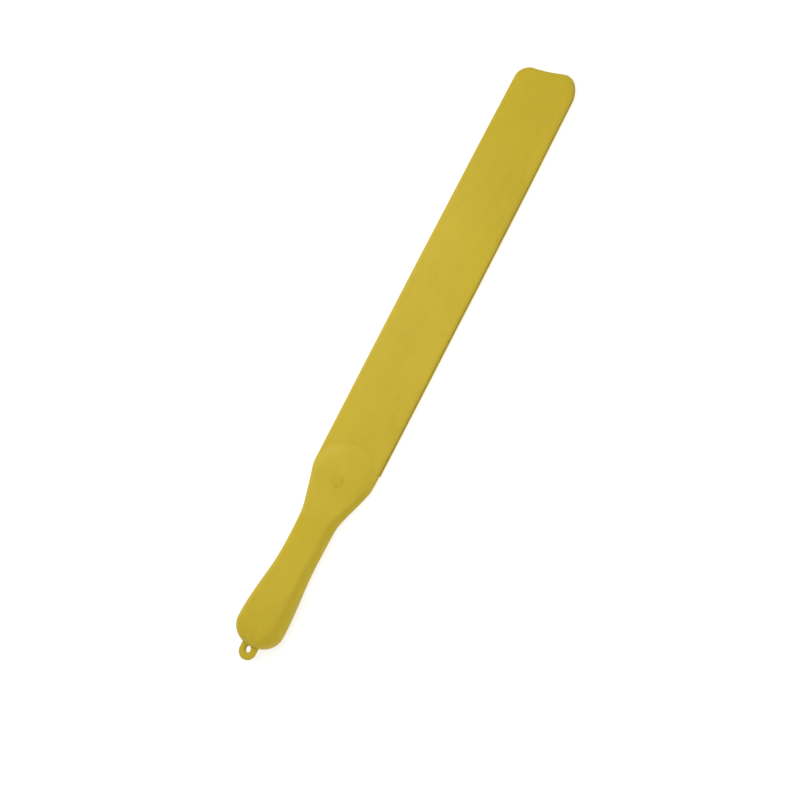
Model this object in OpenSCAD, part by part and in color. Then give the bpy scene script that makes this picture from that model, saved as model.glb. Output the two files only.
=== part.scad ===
// Two-leaf livestock slapper: a hollow clamshell grip that holds two springy leaves, which clap together.
// +X runs from the hanging eye to the tip, +Z is the front face, and the back lies flat on z = 0.
// The origin is below the middle of the overall length.

/* [Blade] */
// Overall length, from the hanging eye to the tip
overall_l = 480; // [460:2:510]
// Widest width of the blade
blade_w = 52.6; // [48:0.2:56]
// Thickness of each leaf
leaf_t = 2.1; // [1.8:0.1:2.2]
// Gap that the leaves clap across
clap_gap = 1.3; // [1.2:0.1:2]
// How much each side draws in from the widest width to the tip
tip_draw = 1.1; // [0:0.1:2]
// Length of the rounding at the tip's high corner
tip_round_high = 17; // [10:1:20]
// Length of the rounding at the tip's low corner
tip_round_low = 10.5; // [8:0.5:18]
// Slope of the tip's end from the high corner down to the low one
tip_slope = 0.33; // [0:0.01:0.4]
// Width of the rounding along the leaves' outer rims
rim_w = 2.2; // [0.6:0.1:3]
// Depth of the rounding along the leaves' outer rims
rim_h = 0.7; // [0.5:0.1:1]

/* [Grip] */
// Distance from the tip to the end of the grip's tongue, where the leaves come free
free_l = 305; // [290:1:320]
// Radius of the tongue's round end
tongue_r = 28.4; // [27:0.2:32]
// Width of the grip at its neck
neck_w = 29.4; // [27:0.2:33]
// Width of the grip at its swell
swell_w = 37.6; // [34:0.2:42]
// Step up from the blade to the grip's tongue
tongue_step = 0.8; // [0.4:0.1:1.2]
// Thickness of the grip at its neck
neck_t = 11.2; // [9:0.1:12]
// Thickness of the grip near its end
end_t = 19.4; // [17:0.1:22]
// Thickness of the shells' walls
wall = 2.4; // [2:0.1:2.8]

/* [Hanging eye] */
// Width of the eye's tab, which ends in a half circle
eye_w = 14; // [12:0.5:15]
// Diameter of the eye's hole
eye_hole_d = 5.2; // [4.5:0.1:6]
// Thickness of the eye
eye_t = 4; // [3.5:0.1:4.5]

/* [Fasteners] */
// Diameter of the flush rivet heads
rivet_head_d = 9; // [8:0.5:13]
// Diameter of the rivet's barrel
rivet_barrel_d = 5.6; // [5:0.1:6.5]
// Diameter of the screw heads
screw_head_d = 5.6; // [5:0.1:6]

/* [Hidden] */
$fn = 64;
YELLOW = "#cbb33c";
RIVET_YELLOW = "#c4ab38";
NATURAL = "#d9d4c4";
STEEL = "#8f9398";
fit = 0.05; // clearance between pieces that are clamped or screwed together

// Levels of the clamped stack, from the back: lip, back leaf, spacer, front leaf, tongue
blade_t = 2 * leaf_t + clap_gap;
root_t = leaf_t / 2; // the leaf is halved in thickness where the grip laps over it
front_z = blade_t - leaf_t;

// Stations along X
tip_x = overall_l / 2;
tab_x = -overall_l / 2 + eye_w / 2; // centre of the eye's round end
eye_x = tab_x + 1.1; // centre of the eye's hole
tongue_x = tip_x - free_l;
// A strip clamped at one end bends much as if hinged at 0.15 of its length, so the leaves are parted there
bend_x = tongue_x + 46;
bend_gap = 0.6; // gap at the hinge line between a leaf and its root
leaf_x = bend_x + bend_gap / 2;
mouth_x = tongue_x - 13; // where the grip's sides start
tongue_mid_x = tongue_x - tongue_r;
rivet_x = tongue_x - 30;
root_end_x = tongue_x - 53;
cavity_x = root_end_x - 4;
dome_x = -overall_l / 2 + 27; // where the grip's end starts to close
dome_l = 16.3;
dome_power = 2.1;
dome_steps = [0, 0.25, 0.45, 0.62, 0.76, 0.87, 0.945, 0.985];
end_wall_x = dome_x - dome_l * 0.985;

// The four screws, as places along and across the grip
screw_pairs = [[-150, 7.5], [-204, 9.5]];
screw_places = [for (p = screw_pairs, side = [-1, 1]) [p[0], side * p[1]]];
head_z = 0.6; // how deep the screw heads sit below the grip's back
head_t = 1.8;
screw_r = 1.3;
thread_r = 1.6;
thread_pitch = 1.2;
boss_r = 3.4; // outer radius of the shells' screw bosses

function ease(u) = let (v = min(1, max(0, u))) v * v * (3 - 2 * v);
function soft_max(a, b, k) = (a + b + sqrt((a - b) * (a - b) + 4 * k * k)) / 2;
function soft_min(a, b, k) = (a + b - sqrt((a - b) * (a - b) + 4 * k * k)) / 2;

// ---- Outline of the blade ----

widest_x = 20;
root_draw = 0.3; // how much each side draws in towards the grip
corner_x = tip_x - 24; // where the sides end and the tip's corners start
function blade_half(x) = blade_w / 2
    - (x > widest_x ? tip_draw : root_draw) * pow((x - widest_x) / (corner_x - widest_x), 2);
tip_half = blade_half(corner_x + 9);

// Across the tip: the end is highest near the -Y side, and falls in a slightly hollow line towards +Y
high_w = 12; // width of the rounding at the high corner
low_w = 11; // width of the rounding at the low corner
tip_hollow = 0.0049;
function tip_drop(y) = let (d = soft_max(0, y + tip_half - high_w, 1.5)) tip_slope * d - tip_hollow * d * d;
top_drop = tip_drop(high_w - tip_half); // the drop where the rounding meets the end, the tip's highest place
function crown(y) = tip_x + top_drop - tip_drop(y);
corner_power = 1.85; // 2 makes the tip's corners elliptic, and less makes them flatter
function round_in(part) = 1 - pow(max(0, part), 2 / corner_power);
function high_corner(a, inset) = let (y = -tip_half + high_w * round_in(cos(a)))
    [crown(y) - tip_round_high * round_in(sin(a)) - inset * sin(a), y + inset * cos(a)];
function low_corner(a, inset) = let (y = tip_half - low_w * round_in(cos(a)))
    [crown(y) - tip_round_low * round_in(sin(a)) - inset * sin(a), y - inset * cos(a)];
side_xs = [for (k = [0 : 12]) leaf_x + (corner_x - 2 - leaf_x) * k / 12];
function blade_outline(inset) = concat(
    [for (x = side_xs) [x, -blade_half(x) + inset]],
    [for (a = [0 : 9 : 90]) high_corner(a, inset)],
    [for (k = [1 : 4]) let (y = -tip_half + high_w + (2 * tip_half - high_w - low_w) * k / 5)
        [crown(y) - inset, y]],
    [for (a = [90 : -9 : 0]) low_corner(a, inset)],
    [for (k = [12 : -1 : 0]) [side_xs[k], blade_half(side_xs[k]) - inset]]);

// ---- Lofting through rings of points ----

// Each ring has the same number of points, in the same order
module loft(rings) {
    n = len(rings[0]);
    last = len(rings) - 1;
    polyhedron(
        points = [for (ring = rings, p = ring) p],
        faces = concat(
            [[for (i = [0 : n - 1]) i]],
            [for (k = [0 : last - 1], i = [0 : n - 1]) let (j = (i + 1) % n)
                [k * n + i, (k + 1) * n + i, (k + 1) * n + j]],
            [for (k = [0 : last - 1], i = [0 : n - 1]) let (j = (i + 1) % n)
                [k * n + i, (k + 1) * n + j, k * n + j]],
            [[for (i = [n - 1 : -1 : 0]) last * n + i]]));
}

// ---- Shape of the grip ----

taper = 0.352; // how fast the shoulders draw in, as a slope
taper_x = -118;
taper_half = 17;
function shoulder_half(x) = soft_min(blade_w / 2 - 0.1, taper_half + taper * (x - taper_x), 0.5);
swell_x = -155; // where the neck starts to widen towards the swell
swell_l = 55;
function swell(x) = (swell_w - neck_w) / 2 * ease((swell_x - x) / swell_l);
function grip_half(x) = soft_max(neck_w / 2, shoulder_half(x), 0.9) + swell(x);
tongue_t = blade_t + tongue_step;
tongue_rise = 1.6; // how much the tongue thickens up to the rivet
rise_l = 32; // length over which it does
neck_l = 33; // length over which the grip then thickens to its neck
end_x = -140; // where the neck starts to thicken towards the end
end_l = 85;
function grip_t(x) = tongue_t + tongue_rise * ease((tongue_x - x) / rise_l)
    + (neck_t - tongue_t - tongue_rise) * ease((tongue_x - rise_l - x) / neck_l)
    + (end_t - neck_t) * ease((end_x - x) / end_l);
function dome(u) = pow(1 - pow(u, dome_power), 1 / dome_power);

// Half a section: straight sides from base_z, rounded shoulders and a flat face at half_h from mid_z.
// up = 1 is the half in front of the parting level, up = -1 the half behind it.
function half_section(x, half_w, half_h, mid_z, base_z, up) =
    let (r = half_h * (up > 0 ? front_share : back_share)) concat(
    [[x, half_w, base_z]],
    [for (a = [0 : 15 : 90]) [x, half_w - r * (1 - cos(a)), mid_z + up * (half_h - r * (1 - sin(a)))]],
    [for (a = [90 : -15 : 0]) [x, r * (1 - cos(a)) - half_w, mid_z + up * (half_h - r * (1 - sin(a)))]],
    [[x, -half_w, base_z]]);

// Share of a half section's height that its side rounding takes
front_share = 0.9;
back_share = 0.78;
// How the grip's end closes in height, against its width: above 1 is sooner, and below 1 is later
front_close = 0.75;
back_close = 1.5;
function height_close(close, up) = pow(close, up > 0 ? front_close : back_close);
function grip_section(x, close, up) = let (h = grip_t(x) / 2)
    half_section(x, grip_half(x) * close, h * height_close(close, up), h, h, up);
function cavity_section(x, close, up) = let (h = grip_t(x) / 2)
    half_section(x, (grip_half(x) - wall) * close, (h - wall) * height_close(close, up), h,
        h - up * end_t, up);

// Rings run from the tip to the eye, so the front half has them turned round to face outwards
module half_loft(rings, up) {
    loft(up < 0 ? rings : [for (k = [len(rings) - 1 : -1 : 0]) rings[k]]);
}
ring_step = 6;
module grip_half_solid(up) {
    half_loft(concat(
        [for (x = [tongue_x + 2 : -ring_step : dome_x + 2]) grip_section(x, 1, up)],
        [for (u = dome_steps) grip_section(dome_x - dome_l * u, dome(u), up)]), up);
}
module grip_cavity(up) {
    half_loft(concat(
        [for (x = [cavity_x : -9 : dome_x + 2]) cavity_section(x, 1, up)],
        [for (u = [0.2, 0.5, 0.65]) cavity_section(dome_x - dome_l * u, dome(u) * (1 - u / 5), up)]), up);
}

// ---- Plan shapes shared by the clamped stack ----

root_half = 20; // half width of the leaf roots inside the grip
root_cut_l = 12; // length and width of the slanted corners at their ends
root_cut_w = 7;
module root_plan(gap, front_x) {
    half = root_half + gap;
    back_x = root_end_x - gap;
    polygon([[back_x, half - root_cut_w], [back_x + root_cut_l, half], [front_x, half],
        [front_x, -half], [back_x + root_cut_l, -half], [back_x, root_cut_w - half]]);
}
module front_of_mouth(gap) {
    translate([mouth_x - gap, -blade_w]) square([tip_x, 2 * blade_w]);
}
module tongue_plan(gap) {
    translate([tongue_mid_x, 0]) circle(r = tongue_r + gap, $fn = 96);
}
module rivet_plan(gap) {
    translate([rivet_x, 0]) circle(d = rivet_barrel_d + 2 * gap);
}

// ---- Leaves ----

inner_bevel = 0.2; // bevel along the leaves' inner rims
// Levels through a leaf, as heights and insets: up = 1 rounds the front rim, up = -1 the back rim
function rim_levels(z, up) = let (inner_z = up > 0 ? z : z + leaf_t) concat(
    [[inner_z, inner_bevel], [inner_z + up * inner_bevel, 0]],
    [for (a = [0 : 30 : 90]) [inner_z + up * (leaf_t - rim_h * (1 - sin(a))), rim_w * (1 - cos(a))]]);
module leaf(z, up) {
    half_loft([for (l = rim_levels(z, up)) [for (p = blade_outline(l[1])) [p[0], p[1], l[0]]]], -up);
}
module front_leaf() {
    color(YELLOW) leaf(front_z, 1);
}
module back_leaf() {
    color(YELLOW) leaf(0, -1);
}

// The clamped end of a leaf: narrow inside the grip, and full width from the grip's mouth to the hinge line
narrow_side = [[root_end_x, root_half - root_cut_w], [root_end_x + root_cut_l, root_half],
    [mouth_x, root_half]];
function root_side(side, inset) = [for (p = concat(narrow_side, [for (x = [mouth_x, leaf_x - bend_gap])
    [x, blade_half(x) - inset]])) [p[0], side * p[1]]];
function root_outline(inset) = let (far = root_side(1, inset))
    concat(root_side(-1, inset), [for (k = [len(far) - 1 : -1 : 0]) far[k]]);
module leaf_root(z, up) {
    difference() {
        half_loft([for (l = rim_levels(z, up)) [for (p = root_outline(l[1])) [p[0], p[1], l[0]]]], -up);
        translate([0, 0, up > 0 ? z + root_t : -1]) linear_extrude(root_t + 1) {
            intersection() {
                tongue_plan(fit);
                front_of_mouth(1);
            }
            translate([root_end_x - 1, -blade_w]) square([mouth_x - root_end_x + 1, 2 * blade_w]);
        }
        translate([0, 0, -1]) linear_extrude(blade_t + 2) rivet_plan(fit);
    }
}
module front_leaf_root() {
    color(YELLOW) leaf_root(front_z, 1);
}
module back_leaf_root() {
    color(YELLOW) leaf_root(0, -1);
}
module leaf_spacer() {
    color(NATURAL) translate([0, 0, leaf_t]) linear_extrude(clap_gap) difference() {
        root_plan(0, mouth_x + 7);
        rivet_plan(fit);
    }
}

// ---- Grip shells ----

// What the leaf roots and the mouth take out of both shells, between two levels
module stack_pocket(z, h) {
    translate([0, 0, z]) linear_extrude(h) root_plan(fit, mouth_x + 1);
}
module around_tongue() {
    difference() {
        front_of_mouth(0);
        tongue_plan(0);
    }
}
module eye_pocket() {
    translate([tab_x, 0, mid_z - eye_t / 2 - fit]) linear_extrude(eye_t + 2 * fit) {
        circle(d = eye_w + 2 * fit);
        translate([0, -eye_w / 2 - fit]) square([tab_l + fit, eye_w + 2 * fit]);
    }
    translate([tab_x, -stem_w / 2 - fit, mid_z - stem_t / 2 - fit])
        cube([stem_l + fit, stem_w + 2 * fit, stem_t + 2 * fit]);
}

module front_grip_shell() {
    color(YELLOW) difference() {
        union() {
            difference() {
                grip_half_solid(1);
                grip_cavity(1);
                stack_pocket(-1, front_z + root_t + 1);
                translate([0, 0, -1]) linear_extrude(front_z + root_t + 1) front_of_mouth(0);
                translate([0, 0, -1]) linear_extrude(end_t) around_tongue();
            }
            for (p = screw_places) translate([p[0], p[1], grip_t(p[0]) / 2])
                cylinder(r = boss_r, h = grip_t(p[0]) / 2 - wall / 2);
        }
        for (p = screw_places) translate([p[0], p[1], 0])
            cylinder(r = thread_r + fit, h = grip_t(p[0]) - wall * 0.75);
        eye_pocket();
        translate([0, 0, -1]) linear_extrude(end_t) rivet_plan(fit);
        translate([rivet_x, 0, front_head_z]) cylinder(d = rivet_head_d + 2 * fit, h = end_t);
    }
}
module back_grip_shell() {
    color(YELLOW) difference() {
        union() {
            difference() {
                grip_half_solid(-1);
                grip_cavity(-1);
                stack_pocket(root_t, end_t);
                translate([0, 0, root_t]) linear_extrude(end_t) front_of_mouth(0);
                translate([0, 0, -1]) linear_extrude(end_t) around_tongue();
            }
            for (p = screw_places) translate([p[0], p[1], wall / 2])
                cylinder(r = boss_r, h = grip_t(p[0]) / 2 - wall / 2 - fit);
        }
        for (p = screw_places) translate([p[0], p[1], -1]) {
            cylinder(r = thread_r + fit, h = end_t);
            cylinder(d = screw_head_d + 4 * fit, h = 1 + head_z + head_t + fit);
        }
        eye_pocket();
        translate([0, 0, -1]) linear_extrude(end_t) rivet_plan(fit);
        translate([rivet_x, 0, -1]) cylinder(d = rivet_head_d + 2 * fit, h = 1 + back_head_t);
    }
}

// ---- Hanging eye ----

mid_z = grip_t(end_wall_x) / 2;
hole_round = 0.8; // rounding of the hole's edges, which leaves a straight land in the hole
rim_round = 1.5; // rounding of the tab's outer edges
tab_l = 5.7; // from the round end's centre to where the tab stops inside the grip
stem_w = 5;
stem_t = 3.2;
stem_l = 13.5;
foot_w = 10; // the foot is wider than the stem, so the eye can't be pulled out of the grip
foot_l = 2.5;

// The tab's section at right angles to its edge, from in_y out to its rounded rim
module tab_section(in_y) {
    translate([in_y, -eye_t / 2]) square([eye_w / 2 - rim_round - in_y, eye_t]);
    hull() for (side = [-1, 1])
        translate([eye_w / 2 - rim_round, side * (eye_t / 2 - rim_round)]) circle(r = rim_round, $fn = 32);
}
module hanging_eye() {
    hole_r = eye_hole_d / 2;
    color(YELLOW) difference() {
        translate([tab_x, 0, mid_z]) {
            rotate_extrude($fn = 96) tab_section(0);
            for (side = [0, 1]) mirror([0, side, 0])
                rotate([90, 0, 90]) linear_extrude(tab_l) tab_section(-1);
            translate([tab_l - 1, -stem_w / 2, -stem_t / 2]) cube([stem_l - tab_l + 1, stem_w, stem_t]);
            translate([stem_l, -foot_w / 2, -stem_t / 2]) cube([foot_l, foot_w, stem_t]);
        }
        translate([eye_x, 0, mid_z]) rotate_extrude($fn = 96) difference() {
            translate([0, -eye_t]) square([hole_r + hole_round, 2 * eye_t]);
            hull() for (side = [-1, 1]) translate([hole_r + hole_round, side * (eye_t / 2 - hole_round)])
                circle(r = hole_round, $fn = 32);
        }
    }
}

// ---- Fasteners ----

front_head_t = 1.2;
back_head_t = 1;
front_head_z = grip_t(rivet_x) - front_head_t - 0.15;
module clamp_rivet() {
    color(RIVET_YELLOW) translate([rivet_x, 0, 0]) {
        translate([0, 0, front_head_z + fit]) cylinder(d = rivet_head_d, h = front_head_t);
        translate([0, 0, back_head_t + 0.3]) cylinder(d = rivet_barrel_d - 2, h = front_head_z - back_head_t);
    }
}
module clamp_rivet_cap() {
    color(RIVET_YELLOW) translate([rivet_x, 0, 0]) difference() {
        union() {
            translate([0, 0, fit]) cylinder(d = rivet_head_d, h = back_head_t - 2 * fit);
            translate([0, 0, fit]) cylinder(d = rivet_barrel_d, h = front_head_z - 4 * fit);
        }
        translate([0, 0, back_head_t]) cylinder(d = rivet_barrel_d - 2 + 2 * fit, h = end_t);
    }
}

slot_l = 3.2; // size of each slot of the screws' cross recess
slot_w = 0.7;
slot_depth = 0.9;
// A pan-head self-tapping screw, driven upwards from the grip's back
module cover_screw(l) {
    turns = floor((l - 3) / thread_pitch);
    difference() {
        rotate_extrude($fn = 48) polygon(concat(
            [[0, 0], [screw_head_d / 2 - 0.4, 0], [screw_head_d / 2, 0.5], [screw_head_d / 2, head_t],
                [screw_r, head_t]],
            [for (k = [0 : turns - 1], half = [0 : 2])
                [half == 1 ? thread_r : screw_r, head_t + 1 + (k + half * 0.3) * thread_pitch]],
            [[screw_r, l - 1.5], [0, l]]));
        for (turn = [0, 90]) rotate(turn)
            translate([-slot_l / 2, -slot_w / 2, -1]) cube([slot_l, slot_w, 1 + slot_depth]);
    }
}
module cover_screws() {
    color(STEEL) for (p = screw_places) translate([p[0], p[1], head_z]) cover_screw(grip_t(p[0]) * 0.74);
}

front_leaf();
back_leaf();
front_leaf_root();
back_leaf_root();
leaf_spacer();
front_grip_shell();
back_grip_shell();
hanging_eye();
clamp_rivet();
clamp_rivet_cap();
cover_screws();
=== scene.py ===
"""Looks of a two-leaf livestock slapper: satin yellow plastic on a pale studio floor.

Shapes are worked out in millimetres, in the frame of the CAD model, and stored in metres.
+X runs from the hanging eye to the tip, +Z is the front face, and the back lies on the floor.
"""

import math

import bmesh
import bpy
import numpy as np
from mathutils import Matrix, Vector


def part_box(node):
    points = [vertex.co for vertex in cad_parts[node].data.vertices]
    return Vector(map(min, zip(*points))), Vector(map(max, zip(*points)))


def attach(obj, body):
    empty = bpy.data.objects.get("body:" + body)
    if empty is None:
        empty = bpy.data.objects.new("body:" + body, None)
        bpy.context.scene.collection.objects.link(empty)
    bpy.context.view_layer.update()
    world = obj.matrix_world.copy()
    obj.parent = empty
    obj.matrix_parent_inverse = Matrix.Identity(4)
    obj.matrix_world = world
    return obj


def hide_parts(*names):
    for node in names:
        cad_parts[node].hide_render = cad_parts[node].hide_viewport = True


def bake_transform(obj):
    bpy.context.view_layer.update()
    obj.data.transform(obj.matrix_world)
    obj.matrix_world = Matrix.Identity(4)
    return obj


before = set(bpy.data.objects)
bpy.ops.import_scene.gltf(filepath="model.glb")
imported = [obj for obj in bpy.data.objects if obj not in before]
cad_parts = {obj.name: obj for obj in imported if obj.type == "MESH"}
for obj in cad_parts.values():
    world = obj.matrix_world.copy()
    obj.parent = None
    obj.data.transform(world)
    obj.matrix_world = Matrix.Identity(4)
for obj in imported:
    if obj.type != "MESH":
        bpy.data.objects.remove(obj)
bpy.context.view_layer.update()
MM = 0.001


def node_box(node):
    """The lowest and highest corner of a CAD node, in millimetres."""
    return [np.array(corner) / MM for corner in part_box(node)]


# ---- Sizes, in millimetres ----

front_low, front_high = node_box("front_leaf")
back_low, _ = node_box("back_leaf")
root_low, _ = node_box("front_leaf_root")
eye_low, eye_high = node_box("hanging_eye")
rivet_low, rivet_high = node_box("clamp_rivet")

LEAF_T = front_high[2] - front_low[2]
RIM_W, RIM_H = 2.2, 0.7  # the rounding along the leaves' outer rims
BLADE_T = front_high[2]
BLADE_HALF = front_high[1]
TIP_X = front_high[0]
WIDEST_X, CORNER_X = 20.0, TIP_X - 24  # where the blade is widest, and where its tip's corners start
TIP_DRAW, ROOT_DRAW = 1.1, 0.3  # how much each side draws in from there to the tip, and to the grip
FREE_L = 305.0  # from the tip to the end of the grip's tongue, where the leaves come free
ROOT_END_X = root_low[0]
TONGUE_X = TIP_X - FREE_L
TONGUE_R = 28.4
TONGUE_MID_X = TONGUE_X - TONGUE_R
RIVET_X = (rivet_low[0] + rivet_high[0]) / 2
MOUTH_X = TONGUE_X - 13
PAST_MOUTH = 6  # how far the leaf's full width runs past the mouth before it is cut back
ROOT_HALF = 20.0  # half width of the leaf roots inside the grip
ROOT_CUT_L, ROOT_CUT_W = 12, 7  # the slanted corners at the roots' ends
RIVET_R = rivet_high[1]
BARREL_R = 2.85  # radius of the holes for the rivet's barrel
TAB_HALF = eye_high[1]
TAB_X = eye_low[0] + TAB_HALF  # centre of the eye's round end
TAB_L = 5.7  # from there to where the tab stops inside the grip
HOLE_X = TAB_X + 1.1
HOLE_R = 2.6
EYE_Z = (eye_low[2] + eye_high[2]) / 2
EYE_T = eye_high[2] - eye_low[2]
STEM_L, STEM_HALF_W, STEM_HALF_T = 13.5, 2.5, 1.6  # the stem that runs from the eye into the grip
WALL = 2.4
FIT = 0.05  # clearance between pieces that are clamped together
TAPER, TAPER_X, TAPER_HALF = 0.352, -118, 17  # the shoulders' slope, and their half width at TAPER_X
NECK_W, SWELL_W = 29.4, 37.6
SWELL_X, SWELL_L = -155, 55  # where the neck starts to widen, and over what length
NECK_T, END_T = 11.2, 19.33
END_X, END_L = -140, 85  # where the neck starts to thicken, and over what length
TONGUE_T = BLADE_T + 0.8
TONGUE_RISE, RISE_L = 1.6, 32  # how much the tongue thickens up to the rivet, and over what length
NECK_L = 33  # length over which the grip then thickens to its neck
DOME_X, DOME_L, DOME_POWER = -213.0, 16.3, 2.1
CAVITY_X = ROOT_END_X - 4
SCREWS = [(-150.0, 7.5), (-150.0, -7.5), (-204.0, 9.5), (-204.0, -9.5)]
BOSS_R, BORE_R, COUNTERBORE_R, COUNTERBORE_Z = 3.4, 1.65, 2.95, 2.45  # the screws' bosses and holes
FAR_Y = 40  # past the object's sides, for the shapes that cut it
AHEAD_X = TONGUE_X + 20  # past the grip's front, for the same


# ---- Shape functions, in millimetres ----

def ease(u):
    v = min(1.0, max(0.0, u))
    return v * v * (3 - 2 * v)


def soft_max(a, b, k):
    return (a + b + math.hypot(a - b, 2 * k)) / 2


def soft_min(a, b, k):
    return (a + b - math.hypot(a - b, 2 * k)) / 2


def blade_half(x):
    """Half width of the blade: widest near its middle, drawn in a little towards both ends."""
    draw = TIP_DRAW if x > WIDEST_X else ROOT_DRAW
    return BLADE_HALF - draw * ((x - WIDEST_X) / (CORNER_X - WIDEST_X)) ** 2


def grip_half(x):
    """Half width of the grip: broad shoulders, a straight taper, a neck and a swell."""
    shoulder = soft_min(BLADE_HALF - 0.1, TAPER_HALF + TAPER * (x - TAPER_X), 0.5)
    return soft_max(NECK_W / 2, shoulder, 0.9) + (SWELL_W - NECK_W) / 2 * ease((SWELL_X - x) / SWELL_L)


def grip_t(x):
    """Thickness of the grip above its flat back."""
    return (TONGUE_T + TONGUE_RISE * ease((TONGUE_X - x) / RISE_L)
            + (NECK_T - TONGUE_T - TONGUE_RISE) * ease((TONGUE_X - RISE_L - x) / NECK_L)
            + (END_T - NECK_T) * ease((END_X - x) / END_L))


def dome(u):
    return max(0.0, 1 - u ** DOME_POWER) ** (1 / DOME_POWER)


def height_close(close, up):
    """How the grip's end closes in height: the front half later than in width, the back half sooner."""
    return close ** (0.75 if up > 0 else 1.5)


# ---- Meshes ----

def mesh_object(name, points, faces):
    """A mesh from points in millimetres."""
    mesh = bpy.data.meshes.new(name)
    mesh.from_pydata([Vector(p) * MM for p in points], [], faces)
    obj = bpy.data.objects.new(name, mesh)
    bpy.context.scene.collection.objects.link(obj)
    return obj


def edit(obj, change):
    """Runs change(bm) on the object's mesh."""
    bm = bmesh.new()
    bm.from_mesh(obj.data)
    change(bm)
    bm.to_mesh(obj.data)
    bm.free()


def apply_modifiers(obj):
    depsgraph = bpy.context.evaluated_depsgraph_get()
    obj.data = bpy.data.meshes.new_from_object(obj.evaluated_get(depsgraph))
    obj.modifiers.clear()


def cut(obj, cutters):
    """Takes the cutters out of the object, and removes them."""
    for cutter in cutters:
        boolean = obj.modifiers.new("cut", "BOOLEAN")
        boolean.operation = "DIFFERENCE"
        boolean.solver = "MANIFOLD"
        boolean.object = cutter
    apply_modifiers(obj)
    for cutter in cutters:
        bpy.data.objects.remove(cutter)


def join(obj, others):
    """Fuses the others into the object, and removes them."""
    for other in others:
        boolean = obj.modifiers.new("join", "BOOLEAN")
        boolean.operation = "UNION"
        boolean.solver = "MANIFOLD"
        boolean.object = other
    apply_modifiers(obj)
    for other in others:
        bpy.data.objects.remove(other)


def smooth(obj, angle=32):
    """Smooth shading, with edges sharper than the angle kept crisp."""
    edit(obj, lambda bm: bmesh.ops.remove_doubles(bm, verts=bm.verts, dist=0.002 * MM))
    obj.data.shade_smooth()
    obj.data.set_sharp_from_angle(angle=math.radians(angle))


def loft(name, rings):
    """A closed solid through rings of points, all with the same count and order."""
    n, last = len(rings[0]), len(rings) - 1
    points = [p for ring in rings for p in ring]
    faces = [tuple(range(n - 1, -1, -1)), tuple(last * n + i for i in range(n))]
    for k in range(last):
        for i in range(n):
            j = (i + 1) % n
            faces.append((k * n + i, k * n + j, (k + 1) * n + j, (k + 1) * n + i))
    obj = mesh_object(name, points, faces)
    edit(obj, lambda bm: bmesh.ops.recalc_face_normals(bm, faces=bm.faces))
    return obj


def prism(name, outline, low, high):
    return loft(name, [[(x, y, z) for x, y in outline] for z in (low, high)])


def circle(x, y, r, count=96):
    return [(x + r * math.cos(2 * math.pi * k / count), y + r * math.sin(2 * math.pi * k / count))
            for k in range(count)]


def tube(name, x, y, r, low, high, count=96):
    return prism(name, circle(x, y, r, count), low, high)


def box(name, low, high):
    outline = [(low[0], low[1]), (high[0], low[1]), (high[0], high[1]), (low[0], high[1])]
    return prism(name, outline, low[2], high[2])


# ---- Leaves ----

HIGH_W, HIGH_L = 12.0, 17.0  # the rounding of the tip's high corner, across and along
LOW_W, LOW_L = 11.0, 10.5  # and of its low corner
CORNER_POWER = 1.85
TIP_SLOPE, TIP_HOLLOW = 0.33, 0.0049
TIP_HALF = blade_half(TIP_X - 15)


def tip_drop(y):
    d = soft_max(0, y + TIP_HALF - HIGH_W, 1.5)
    return TIP_SLOPE * d - TIP_HOLLOW * d * d


def crown(y):
    return TIP_X + tip_drop(HIGH_W - TIP_HALF) - tip_drop(y)


def tip_corner(width, length, side):
    """Points round a corner of the tip, from the leaf's side to its end. side is 1 for +Y."""
    points = []
    for a in np.radians(np.arange(0, 91, 5)):
        inwards, back = (1 - max(0.0, f(a)) ** (2 / CORNER_POWER) for f in (math.cos, math.sin))
        y = side * (TIP_HALF - width * inwards)
        points.append((min(TIP_X, crown(y) - length * back), y))
    return points


def leaf_outline():
    """The leaf's outline, anticlockwise from above, with its root inside the grip.

    Its full width runs a little past the grip's mouth, and is cut back there later.
    """
    side = np.arange(MOUTH_X - PAST_MOUTH, TIP_X - 18, 2.0)
    points = [(ROOT_END_X, ROOT_HALF - ROOT_CUT_W), (ROOT_END_X, ROOT_CUT_W - ROOT_HALF),
              (ROOT_END_X + ROOT_CUT_L, -ROOT_HALF), (MOUTH_X - PAST_MOUTH, -ROOT_HALF)]
    points += [(x, -blade_half(x)) for x in side]
    points += tip_corner(HIGH_W, HIGH_L, -1)
    points += [(crown(y), y) for y in np.linspace(HIGH_W - TIP_HALF, TIP_HALF - LOW_W, 18)[1:-1]]
    points += tip_corner(LOW_W, LOW_L, 1)[::-1]
    points += [(x, blade_half(x)) for x in side[::-1]]
    points += [(MOUTH_X - PAST_MOUTH, ROOT_HALF), (ROOT_END_X + ROOT_CUT_L, ROOT_HALF)]
    return points


def inset(outline, d):
    """The outline moved inwards by d."""
    p = np.array(outline)
    along = np.roll(p, -1, 0) - np.roll(p, 1, 0)
    normal = np.stack([-along[:, 1], along[:, 0]], 1) / np.linalg.norm(along, axis=1)[:, None]
    return p + normal * d


def leaf_form(x, y):
    """How far a leaf stands off flat: a crown across its tip, and a faint waviness from the mould."""
    across = y / BLADE_HALF
    crowned = 1.1 * ease((x - 20) / 180) * (1 - across * across)
    free = ease((x - TONGUE_X) / 60)
    wave = 0.07 * math.sin(x / 31.0) + 0.05 * math.sin(x / 13.0 + 1.3 * across)
    return crowned + free * (wave + 0.12)


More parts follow.
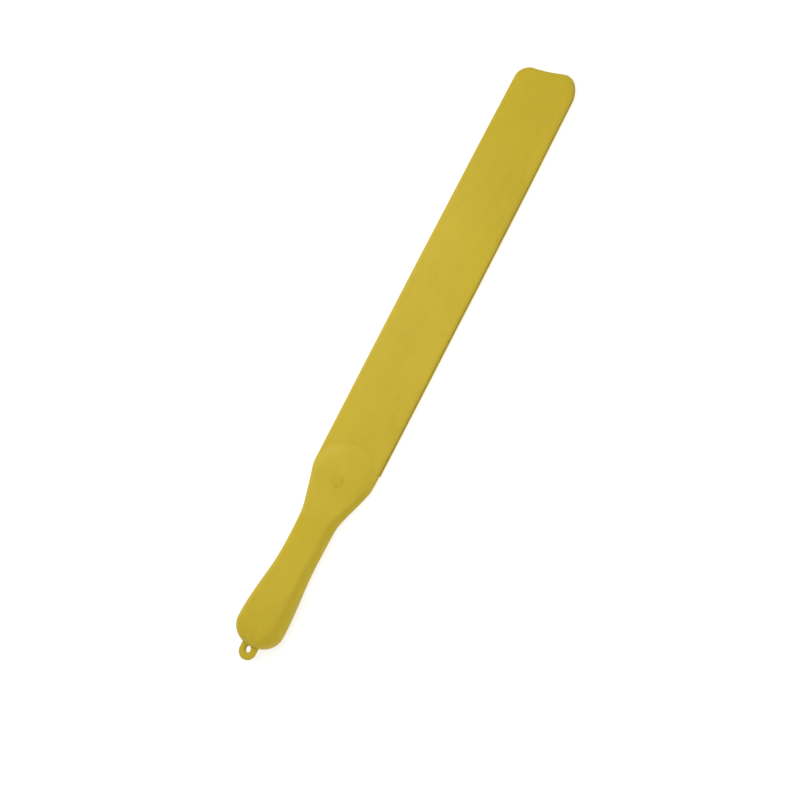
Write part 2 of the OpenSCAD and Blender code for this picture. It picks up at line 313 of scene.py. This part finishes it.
def leaf(name, z, front):
    """A leaf with its outer rim rounded, divided finely. front is True where the rounded rim faces +Z."""
    outline = leaf_outline()
    levels = [(1.6, 0.0), (0.3, 0.0), (0.08, 0.08), (0.0, 0.3)]
    levels += [(RIM_W * (1 - math.cos(a)), LEAF_T - RIM_H * (1 - math.sin(a)))
               for a in np.linspace(0, math.pi / 2, 10)]
    levels += [(RIM_W + 0.9, LEAF_T)]
    rings = []
    for d, h in levels:
        height = z + h if front else z + LEAF_T - h
        rings.append([(x, y, height) for x, y in inset(outline, d)])
    obj = loft(name, rings)

    def divide(bm):
        for axis, places in ((0, np.arange(-76, TIP_X - 1, 4.0)), (1, np.arange(-22, 23, 4.0))):
            normal = Vector([1.0 if k == axis else 0.0 for k in range(3)])
            for place in places:
                bmesh.ops.bisect_plane(bm, geom=bm.verts[:] + bm.edges[:] + bm.faces[:], dist=1e-7,
                                       plane_co=normal * place * MM, plane_no=normal)
    edit(obj, divide)
    return obj


def shape_leaf(obj):
    for v in obj.data.vertices:
        v.co.z += leaf_form(v.co.x / MM, v.co.y / MM) * MM


def root_outline(gap, front_x):
    """The pocket for the leaf roots, from above, with a clearance round them."""
    half, end_x = ROOT_HALF + gap, ROOT_END_X - gap
    return [(end_x, ROOT_CUT_W - half), (end_x + ROOT_CUT_L, -half), (front_x, -half),
            (front_x, half), (end_x + ROOT_CUT_L, half), (end_x, half - ROOT_CUT_W)]


def tongue_arc(gap):
    """The tongue's round end, in front of the grip's mouth, from -Y to +Y."""
    r = TONGUE_R + gap
    reach = math.acos((MOUTH_X - TONGUE_MID_X) / r)
    return [(TONGUE_MID_X + r * math.cos(a), r * math.sin(a)) for a in np.linspace(-reach, reach, 72)]


def make_leaf(name, node_z, front):
    """A whole leaf: thinned where the grip laps over it, and drilled for the rivet."""
    obj = leaf(name, node_z, front)
    low, high = (node_z + LEAF_T / 2, node_z + LEAF_T + 1) if front else (node_z - 1, node_z + LEAF_T / 2)
    behind_x = ROOT_END_X - 1
    lapped = [(behind_x, -FAR_Y), (MOUTH_X, -FAR_Y), *tongue_arc(0.02), (MOUTH_X, FAR_Y), (behind_x, FAR_Y)]
    cut(obj, [prism("recess", lapped, low, high), tube("hole", RIVET_X, 0, BARREL_R, -1, BLADE_T + 1),
              box("shoulder", (behind_x, -FAR_Y, -1), (MOUTH_X, -ROOT_HALF, BLADE_T + 1)),
              box("shoulder", (behind_x, ROOT_HALF, -1), (MOUTH_X, FAR_Y, BLADE_T + 1))])
    shape_leaf(obj)
    smooth(obj)
    return obj


# ---- Grip ----

FRONT_SHARE, BACK_SHARE = 0.9, 0.78  # share of a half's height that its side rounding takes
SEAM = 0.12  # bevel along the line where the two covers meet
TONGUE_SLOPE_W = 10.0  # width of the slope from the leaf up to the tongue's top


def half_section(x, half_w, half_h, mid_z, base_z, up, seam, flat_count=20, arc_count=9):
    """Half a section of the grip, from its +Y side over to its -Y side."""
    r = half_h * (FRONT_SHARE if up > 0 else BACK_SHARE)
    side = [(half_w - seam, base_z), (half_w, base_z + up * seam)]
    side += [(half_w - r * (1 - math.cos(a)), mid_z + up * (half_h - r * (1 - math.sin(a))))
             for a in np.linspace(0, math.pi / 2, arc_count)]
    flat = [(y, mid_z + up * half_h) for y in np.linspace(half_w - r, r - half_w, flat_count)[1:-1]]
    return [(x, y, z) for y, z in side + flat + [(-y, z) for y, z in side[::-1]]]


def tongue_edge(x, y):
    """0 at the tongue's edge, 1 a few millimetres inside it."""
    inside = TONGUE_R - math.hypot(max(0, x - TONGUE_MID_X), y)
    return ease(inside / TONGUE_SLOPE_W) if x > TONGUE_MID_X - 10 else 1.0


def grip_solid(name, up):
    rings = []
    for x in np.arange(TONGUE_X + 2, DOME_X + 1, -1.5):
        h = grip_t(x) / 2
        rings.append(half_section(x, grip_half(x), h, h, h, up, SEAM))
    for u in np.sin(np.linspace(0, 0.985, 16) * math.pi / 2):
        x, close, h = DOME_X - DOME_L * u, dome(u), grip_t(DOME_X - DOME_L * u) / 2
        rings.append(half_section(x, grip_half(x) * close, h * height_close(close, up), h, h, up,
                                  SEAM * close))
    if up > 0:
        lap_z = BLADE_T + 0.03
        rings = [[(x, y, z if z < lap_z else lap_z + (z - lap_z) * tongue_edge(x, y))
                  for x, y, z in ring] for ring in rings]
    return loft(name, rings)


def grip_cavity(up):
    rings = []
    for x in np.arange(CAVITY_X, DOME_X + 2, -4.0):
        h = grip_t(x) / 2
        rings.append(half_section(x, grip_half(x) - WALL, h - WALL, h, h - up * END_T, up, 0.0, 6, 6))
    for u in (0.2, 0.5, 0.65):
        x = DOME_X - DOME_L * u
        close, h = dome(u) * (1 - u / 5), grip_t(x) / 2
        rings.append(half_section(x, (grip_half(x) - WALL) * close, (h - WALL) * height_close(close, up), h,
                                  h - up * END_T, up, 0.0, 6, 6))
    return loft("cavity", rings)


def around_tongue():
    """What is cut away round the tongue, in front of the grip's mouth."""
    outline = [(MOUTH_X, -FAR_Y), (AHEAD_X, -FAR_Y), (AHEAD_X, FAR_Y), (MOUTH_X, FAR_Y),
               *tongue_arc(0)[::-1]]
    return prism("left", outline, -1, END_T + 1)


def tab_plan(gap):
    """The hanging eye's tab, from above: a half circle with straight sides running into the grip."""
    r = TAB_HALF + gap
    round_end = [(TAB_X - r * math.sin(a), r * math.cos(a)) for a in np.linspace(0, math.pi, 64)]
    return round_end + [(TAB_X + TAB_L + gap, -r), (TAB_X + TAB_L + gap, r)]


def eye_pockets():
    half_w, half_t = STEM_HALF_W + FIT, STEM_HALF_T + FIT
    return [prism("tab", tab_plan(FIT), EYE_Z - EYE_T / 2 - FIT, EYE_Z + EYE_T / 2 + FIT),
            box("stem", (TAB_X, -half_w, EYE_Z - half_t), (TAB_X + STEM_L + FIT, half_w, EYE_Z + half_t))]


def front_cover():
    obj = grip_solid("grip_front_cover", 1)
    lap_z = front_low[2] + LEAF_T / 2
    cut(obj, [grip_cavity(1), prism("pocket", root_outline(FIT, MOUTH_X + 1), -1, lap_z),
              box("mouth", (MOUTH_X, -FAR_Y, -1), (AHEAD_X, FAR_Y, lap_z)), around_tongue()])
    join(obj, [tube("boss", x, y, BOSS_R, grip_t(x) / 2, grip_t(x) - WALL / 2, 48) for x, y in SCREWS])
    cutters = [tube("pilot", x, y, BORE_R, 0, grip_t(x) - 0.75 * WALL, 32) for x, y in SCREWS]
    cutters += eye_pockets()
    cutters += [tube("barrel", RIVET_X, 0, BARREL_R, -1, END_T),
                tube("head", RIVET_X, 0, RIVET_R + 0.02, RIVET_TOP - 1.45, END_T, 128)]
    cut(obj, cutters)
    smooth(obj)
    return obj


def back_cover():
    obj = grip_solid("grip_back_cover", -1)
    lap_z = LEAF_T / 2
    cut(obj, [grip_cavity(-1), prism("pocket", root_outline(FIT, MOUTH_X + 1), lap_z, END_T),
              box("mouth", (MOUTH_X, -FAR_Y, lap_z), (AHEAD_X, FAR_Y, END_T)), around_tongue()])
    join(obj, [tube("boss", x, y, BOSS_R, WALL / 2, grip_t(x) / 2, 48) for x, y in SCREWS])
    cutters = []
    for x, y in SCREWS:
        cutters += [tube("bore", x, y, BORE_R, -1, END_T, 32),
                    tube("counterbore", x, y, COUNTERBORE_R, -1, COUNTERBORE_Z, 64)]
    cutters += eye_pockets()
    cutters += [tube("barrel", RIVET_X, 0, BARREL_R, -1, END_T),
                tube("cap", RIVET_X, 0, RIVET_R + FIT, -1, 1.0, 128)]
    cut(obj, cutters)
    smooth(obj)
    return obj


# ---- Small pieces ----

RIVET_TOP = grip_t(RIVET_X) + 0.12


def lathe(name, x, y, profile, count=96):
    """A solid of revolution about a vertical axis, from (radius, height) points that start and end on it."""
    points = [(x, y, profile[0][1])]
    rings = profile[1:-1]
    for r, z in rings:
        points += [(px, py, z) for px, py in circle(x, y, r, count)]
    points.append((x, y, profile[-1][1]))
    top, faces = len(points) - 1, []
    for i in range(count):
        j = (i + 1) % count
        faces.append((0, 1 + j, 1 + i))
        faces.append((top, top - count + i, top - count + j))
        for k in range(len(rings) - 1):
            a, b = 1 + k * count, 1 + (k + 1) * count
            faces.append((a + i, a + j, b + j, b + i))
    obj = mesh_object(name, points, faces)
    edit(obj, lambda bm: bmesh.ops.recalc_face_normals(bm, faces=bm.faces))
    return obj


def rounded(r, z, round_r, turn, steps=5):
    """Points round an edge at radius r and height z. turn is 1 for a top edge and -1 for a bottom one."""
    return [(r - round_r * (1 - math.cos(a)), z - turn * round_r * (1 - math.sin(a)))
            for a in (np.linspace(0, math.pi / 2, steps) if turn > 0 else np.linspace(math.pi / 2, 0, steps))]


def rivet_head():
    z, r = RIVET_TOP, RIVET_R
    profile = [(0, 1.3), (1.6, 1.3), (1.8, 1.5), (1.8, z - 1.4), *rounded(r, z - 1.4, 0.1, -1, 3),
               *rounded(r, z, 0.3, 1), (0.65 * r, z + 0.03), (0, z + 0.04)]
    obj = lathe("rivet_head", RIVET_X, 0, profile, 128)
    smooth(obj)
    return obj


def rivet_cap():
    r = RIVET_R
    profile = [(0, 0.08), (0.65 * r, 0.06), *rounded(r, 0.05, 0.2, -1), *rounded(r, 0.95, 0.05, 1, 2),
               (2.8, 0.95), (2.8, RIVET_TOP - 1.6), (1.85, RIVET_TOP - 1.6), (1.85, 1.0), (0, 1.0)]
    obj = lathe("rivet_cap", RIVET_X, 0, profile, 128)
    smooth(obj)
    return obj


def hanging_eye():
    """The eye's tab with its rounded rim and hole, and the stem and foot that hold it in the grip."""
    rim = 1.5
    levels = [(rim * (1 - math.sin(a)), -EYE_T / 2 + rim * (1 - math.cos(a)))
              for a in np.linspace(0, math.pi / 2, 7)]
    levels += [(d, -h) for d, h in levels[::-1]]
    rings = [[(x, y, EYE_Z + h) for x, y in tab_plan(-d)] for d, h in levels]
    obj = loft("hanging_eye_tab", rings)
    low, high, inner_x = EYE_Z - STEM_HALF_T, EYE_Z + STEM_HALF_T, eye_high[0]
    join(obj, [box("stem", (TAB_X + TAB_L - 2, -STEM_HALF_W, low), (inner_x - 2, STEM_HALF_W, high)),
               box("foot", (inner_x - 2.5, -5, low), (inner_x, 5, high))])
    flare = 0.8
    half_hole = [(HOLE_R + flare * (1 - math.sin(a)), EYE_T / 2 - flare * (1 - math.cos(a)))
                 for a in np.linspace(0, math.pi / 2, 7)]
    profile = [(0, -EYE_T), (HOLE_R + flare, -EYE_T), *[(r, -h) for r, h in half_hole],
               *half_hole[::-1], (HOLE_R + flare, EYE_T), (0, EYE_T)]
    cut(obj, [lathe("hole", HOLE_X, 0, [(r, EYE_Z + h) for r, h in profile])])
    smooth(obj, 40)
    return obj


def screw(number, x, y):
    """A pan-head self-tapping screw with a cross recess, seen from the grip's back."""
    head_z, head_t, head_r = 0.6, 1.8, 2.8
    length, pitch, core_r, crest_r = grip_t(x) * 0.74, 1.2, 1.3, 1.58
    profile = [(0, head_z), (1.4, head_z + 0.03)]
    profile += [(head_r * math.sin(a), head_z + 0.03 + 1.0 * (1 - math.cos(a)))
                for a in np.radians((42, 55, 66, 76, 84, 90))]
    profile += [(head_r, head_z + head_t - 0.1), (head_r - 0.1, head_z + head_t), (core_r, head_z + head_t)]
    z = head_z + head_t + 1
    while z < head_z + length - 2.4:
        profile += [(core_r, z), (crest_r, z + 0.3 * pitch), (core_r, z + 0.6 * pitch)]
        z += pitch
    profile += [(core_r, head_z + length - 1.5), (0, head_z + length)]
    obj = lathe(f"cover_screw_{number}", x, y, profile, 48)
    slots = [loft("slot", [[(x + px * k, y + py * k, z) for px, py in cross_bar(turn)]
                           for k, z in ((1.0, head_z - 0.5), (1.0, head_z + 0.1), (0.55, head_z + 1.3))])
             for turn in (0.3 * number, 0.3 * number + math.pi / 2)]
    cut(obj, slots)
    smooth(obj)
    return obj


def cross_bar(turn):
    corners = [(-1.5, -0.28), (1.5, -0.28), (1.5, 0.28), (-1.5, 0.28)]
    c, s = math.cos(turn), math.sin(turn)
    return [(px * c - py * s, px * s + py * c) for px, py in corners]


# ---- Materials ----

class Nodes:
    """Builds a material's node tree, one short call for each node."""

    def __init__(self, name):
        self.material = bpy.data.materials.new(name)
        self.material.use_nodes = True
        self.tree = self.material.node_tree
        self.shader = self.tree.nodes["Principled BSDF"]
        self.place = self.add("ShaderNodeTexCoord").outputs["Object"]

    def add(self, kind, **settings):
        node = self.tree.nodes.new(kind)
        for key, value in settings.items():
            setattr(node, key, value)
        return node

    def link(self, source, socket):
        self.tree.links.new(source, socket)

    def noise(self, scale, detail=3.0, roughness=0.5, stretch=None):
        node = self.add("ShaderNodeTexNoise")
        node.inputs["Scale"].default_value = scale
        node.inputs["Detail"].default_value = detail
        node.inputs["Roughness"].default_value = roughness
        place = self.place
        if stretch:
            mapping = self.add("ShaderNodeMapping")
            mapping.inputs["Scale"].default_value = stretch
            self.link(place, mapping.inputs["Vector"])
            place = mapping.outputs["Vector"]
        self.link(place, node.inputs["Vector"])
        return node.outputs["Fac"]

    def remap(self, value, low, high, to_low, to_high):
        node = self.add("ShaderNodeMapRange")
        for socket, number in zip(("From Min", "From Max", "To Min", "To Max"), (low, high, to_low, to_high)):
            node.inputs[socket].default_value = number
        self.link(value, node.inputs["Value"])
        return node.outputs["Result"]

    def mix(self, factor, a, b):
        node = self.add("ShaderNodeMix", data_type="RGBA")
        self.link(factor, node.inputs["Factor"])
        for socket, value in ((node.inputs[6], a), (node.inputs[7], b)):
            if isinstance(value, tuple):
                socket.default_value = (*value, 1.0)
            else:
                self.link(value, socket)
        return node.outputs[2]

    def maths(self, operation, a, b):
        node = self.add("ShaderNodeMath", operation=operation)
        for socket, value in zip(node.inputs, (a, b)):
            if isinstance(value, (int, float)):
                socket.default_value = value
            else:
                self.link(value, socket)
        return node.outputs["Value"]

    def bump(self, height, strength, distance, before=None):
        node = self.add("ShaderNodeBump")
        node.inputs["Strength"].default_value = strength
        node.inputs["Distance"].default_value = distance
        self.link(height, node.inputs["Height"])
        if before:
            self.link(before, node.inputs["Normal"])
        return node.outputs["Normal"]


def tint(colour, factor):
    return tuple(min(1.0, c * factor) for c in colour)


def satin_plastic(name, colour, rough, grain=1.0):
    """Moulded polypropylene: pigment mottling, a fine spark-eroded grain, and faint handling scuffs."""
    n = Nodes(name)
    pigment = n.remap(n.noise(16, 2), 0.35, 0.65, 0, 1)
    flow = n.remap(n.noise(260, 4, 0.6, stretch=(0.25, 1, 1)), 0.3, 0.7, 0, 1)
    base = n.mix(pigment, tint(colour, 0.975), tint(colour, 1.025))
    speckle = n.mix(flow, (0.485, 0.485, 0.485), (0.515, 0.515, 0.515))
    shade = n.add("ShaderNodeMix", data_type="RGBA", blend_type="OVERLAY")
    shade.inputs["Factor"].default_value = 1.0
    n.link(base, shade.inputs[6])
    n.link(speckle, shade.inputs[7])
    scuffs = n.remap(n.noise(1.0, 2, 0.6, stretch=(28, 900, 900)), 0.66, 0.78, 0, 1)
    patches = n.remap(n.noise(34, 3), 0.5, 0.72, 0, 1)
    worn = n.maths("MULTIPLY", scuffs, patches)
    pale = tuple(0.7 * c + 0.22 for c in colour)
    n.link(n.mix(n.maths("MULTIPLY", worn, 0.22), shade.outputs[2], pale), n.shader.inputs["Base Color"])
    roughness = n.remap(n.noise(120, 3), 0.3, 0.7, rough - 0.04, rough + 0.05)
    n.link(n.maths("ADD", roughness, n.maths("MULTIPLY", worn, 0.12)), n.shader.inputs["Roughness"])
    grain_height = n.noise(2400, 2, 0.6)
    orange_peel = n.noise(190, 2)
    normal = n.bump(orange_peel, 0.10 * grain, 0.0004)
    normal = n.bump(grain_height, 0.10 * grain, 0.00006, normal)
    n.link(n.bump(scuffs, 0.05, 0.00004, normal), n.shader.inputs["Normal"])
    n.shader.inputs["Subsurface Weight"].default_value = 0.2
    n.shader.inputs["Subsurface Radius"].default_value = (0.003, 0.0025, 0.0008)
    n.shader.inputs["Subsurface Scale"].default_value = 1.0
    n.shader.inputs["Specular IOR Level"].default_value = 0.15
    return n.material


def zinc_steel(name):
    """Zinc-plated steel: fine turning marks and a cloudy plating."""
    n = Nodes(name)
    cloud = n.remap(n.noise(700, 4), 0.3, 0.7, 0, 1)
    n.link(n.mix(cloud, (0.50, 0.51, 0.53), (0.66, 0.66, 0.65)), n.shader.inputs["Base Color"])
    n.link(n.remap(n.noise(1500, 3), 0.3, 0.7, 0.26, 0.42), n.shader.inputs["Roughness"])
    n.link(n.bump(n.noise(5000, 2, 0.5, stretch=(1, 1, 6)), 0.12, 0.00003), n.shader.inputs["Normal"])
    n.shader.inputs["Metallic"].default_value = 1.0
    return n.material


def natural_plastic(name):
    """Unpigmented polypropylene, slightly milky."""
    n = Nodes(name)
    n.link(n.mix(n.noise(140, 3), (0.64, 0.61, 0.50), (0.74, 0.72, 0.62)), n.shader.inputs["Base Color"])
    n.link(n.remap(n.noise(300, 3), 0.3, 0.7, 0.4, 0.52), n.shader.inputs["Roughness"])
    n.link(n.bump(n.noise(1800, 2), 0.1, 0.00006), n.shader.inputs["Normal"])
    n.shader.inputs["Subsurface Weight"].default_value = 0.15
    n.shader.inputs["Subsurface Radius"].default_value = (0.003, 0.003, 0.002)
    n.shader.inputs["Subsurface Scale"].default_value = 1.0
    return n.material


def floor_material():
    n = Nodes("studio_floor")
    n.link(n.mix(n.noise(3, 2), (0.39, 0.39, 0.39), (0.41, 0.41, 0.41)), n.shader.inputs["Base Color"])
    n.shader.inputs["Roughness"].default_value = 0.9
    n.shader.inputs["Emission Color"].default_value = (1, 1, 1, 1)
    n.shader.inputs["Emission Strength"].default_value = 0.7
    return n.material


LEAF_YELLOW = (0.512, 0.386, 0.0235)
GRIP_YELLOW = (0.513, 0.386, 0.023)


def paint(obj, material):
    obj.data.materials.clear()
    obj.data.materials.append(material)


# ---- Putting the object together ----

leaf_plastic = satin_plastic("leaf_plastic", LEAF_YELLOW, 0.38)
grip_plastic = satin_plastic("grip_plastic", GRIP_YELLOW, 0.44, grain=1.3)
rivet_plastic = satin_plastic("rivet_plastic", tint(GRIP_YELLOW, 0.97), 0.4)
steel = zinc_steel("screw_steel")


def place(obj, material, slot, *nodes):
    """Finishes a piece that rides on the grip and stands for these CAD nodes."""
    paint(obj, material)
    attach(obj, "grip")
    if nodes:
        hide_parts(*nodes)


for name, node, z, front in (("blade_front_leaf", "front_leaf", front_low[2], True),
                             ("blade_back_leaf", "back_leaf", back_low[2], False)):
    piece = make_leaf(name, z, front)
    paint(piece, leaf_plastic)
    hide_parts(node, node + "_root")
    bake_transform(piece)

place(front_cover(), grip_plastic, "grip_plastic", "front_grip_shell")
place(back_cover(), grip_plastic, "grip_plastic", "back_grip_shell")
place(hanging_eye(), grip_plastic, "grip_plastic", "hanging_eye")
place(rivet_head(), rivet_plastic, "rivet_plastic", "clamp_rivet")
place(rivet_cap(), rivet_plastic, "rivet_plastic", "clamp_rivet_cap")
for number, (x, y) in enumerate(SCREWS):
    place(screw(number, x, y), steel, "screw_steel", "cover_screws")
paint(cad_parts["leaf_spacer"], natural_plastic("spacer_plastic"))

# ---- Floor, lights and camera ----

FLOOR_HALF, FLOOR_DROP = 4000, 0.2  # half the floor's width, and how far it lies below the object
corners = [(x * FLOOR_HALF, y * FLOOR_HALF, 0) for x, y in ((-1, -1), (1, -1), (1, 1), (-1, 1))]
floor = mesh_object("studio_floor", corners, [(0, 1, 2, 3)])
floor.location.z = -FLOOR_DROP * MM
paint(floor, floor_material())


def area_light(name, direction, distance, size, power):
    """A square softbox that faces the object from a direction."""
    data = bpy.data.lights.new(name, "AREA")
    data.shape, data.size, data.energy = "SQUARE", size, power
    obj = bpy.data.objects.new(name, data)
    bpy.context.scene.collection.objects.link(obj)
    towards = Vector(direction).normalized()
    obj.location = towards * distance
    obj.rotation_euler = towards.to_track_quat("Z", "Y").to_euler()


area_light("top_light", (0.03, -0.1, 1.0), 0.8, 0.6, 1.45)
area_light("side_light", (0.04, 0.30, 0.26), 0.42, 0.22, 0.68)

world = bpy.data.worlds.new("studio")
world.use_nodes = True
world.node_tree.nodes["Background"].inputs["Color"].default_value = (1, 1, 1, 1)
world.node_tree.nodes["Background"].inputs["Strength"].default_value = 0.7
bpy.context.scene.world = world
bpy.context.scene.view_settings.view_transform = "Standard"

ROLL = math.radians(28.5)  # how far the view is turned about the object's length, towards -Y
LEAN = math.radians(27.37)  # how far the object's length leans in the view
FOCAL, SENSOR = 135.0, 36.0
VIEW_W = 578.1 * MM  # width of the view at the object
target = Vector((-22.5, 0, 0)) * MM
toward_camera = Vector((0, -math.sin(ROLL), math.cos(ROLL)))
length_axis = Vector((1, 0, 0))
cross_axis = length_axis.cross(toward_camera)
right = length_axis * math.sin(LEAN) + cross_axis * math.cos(LEAN)
up = length_axis * math.cos(LEAN) - cross_axis * math.sin(LEAN)
target += cross_axis * 9.73 * MM
camera_data = bpy.data.cameras.new("camera")
camera_data.lens, camera_data.sensor_width = FOCAL, SENSOR
camera = bpy.data.objects.new("camera", camera_data)
bpy.context.scene.collection.objects.link(camera)
distance = VIEW_W * FOCAL / SENSOR
pose = Matrix((right, up, toward_camera)).transposed().to_4x4()
pose.translation = target + toward_camera * distance
camera.matrix_world = pose
bpy.context.scene.camera = camera
